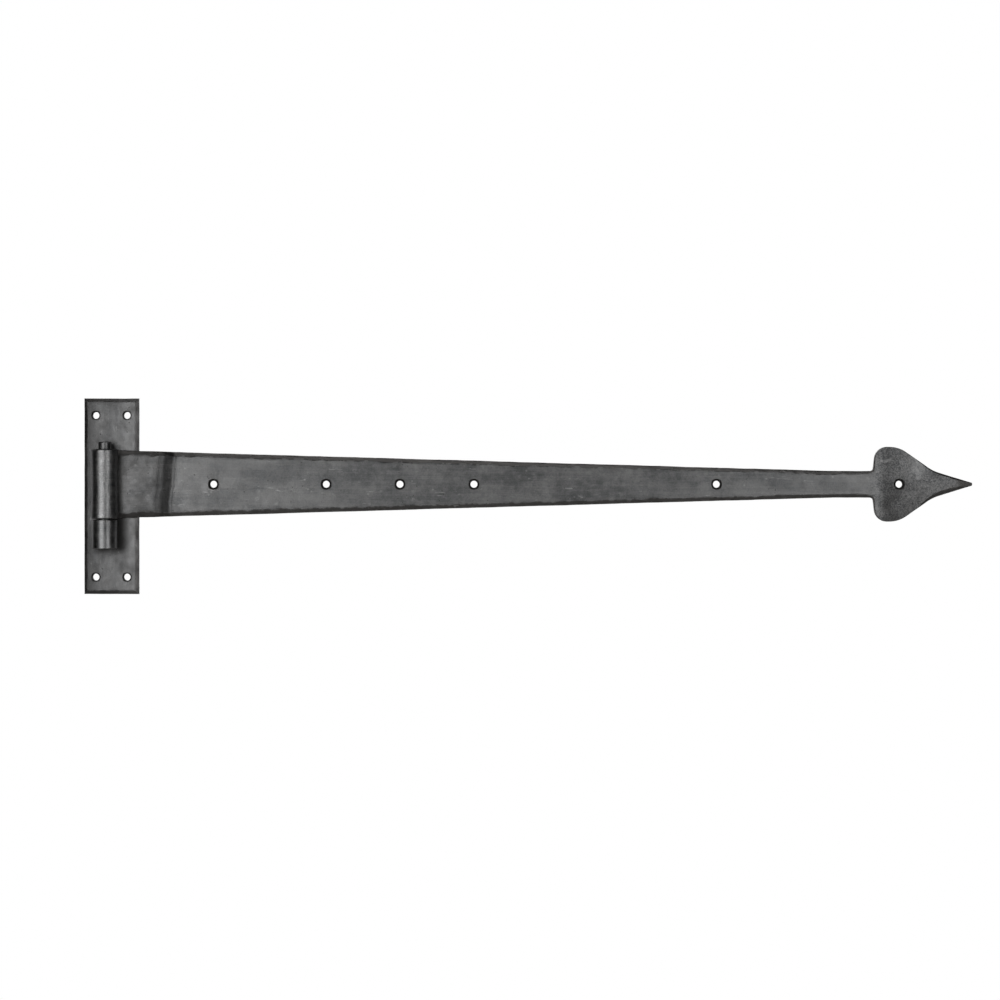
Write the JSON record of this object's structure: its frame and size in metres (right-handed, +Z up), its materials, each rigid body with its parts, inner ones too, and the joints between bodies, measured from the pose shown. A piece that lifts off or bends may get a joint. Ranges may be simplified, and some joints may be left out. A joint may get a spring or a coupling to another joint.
{
  "type": "strap hinge",
  "caption": "Long tapered strap with a rolled eye and a leaf-shaped point, hung on an upright pin in the knuckle of a screw-on back plate; it swings and lifts off.",
  "frame": {"origin": "on the back of the plate, straight behind the pin's axis, at half the plate's height", "axes": "+Z up along the pin, +X along the strap to its point, +Y into the wall that the plate is screwed to"},
  "size_m": [0.6165, 0.0243, 0.136],
  "materials": {
    "plate_steel": "dark waxed forged steel with rolling marks and light scratches",
    "knuckle_steel": "dark waxed forged steel, hammered",
    "pin_steel": "dark waxed round bar, rubbed bright along its length",
    "band_steel": "dark waxed forged steel, brushed lengthwise, with hammered edges"
  },
  "bodies": {
    "hook": {"back_plate": "plate_steel", "knuckle_loop": "knuckle_steel"},
    "pin": {"pintle_pin": "pin_steel"},
    "strap": {"band": "band_steel"}
  },
  "joints": [
    {"name": "band_swing", "type": "hinge", "parent": "hook", "child": "pin", "pos_m": [0, -0.015, 0], "axis": [0, 0, -1], "range_deg": [0, 180]},
    {"name": "band_lift", "type": "slide", "parent": "pin", "child": "strap", "axis": [0, 0, 1], "range_m": [0, 0.06]}
  ]
}
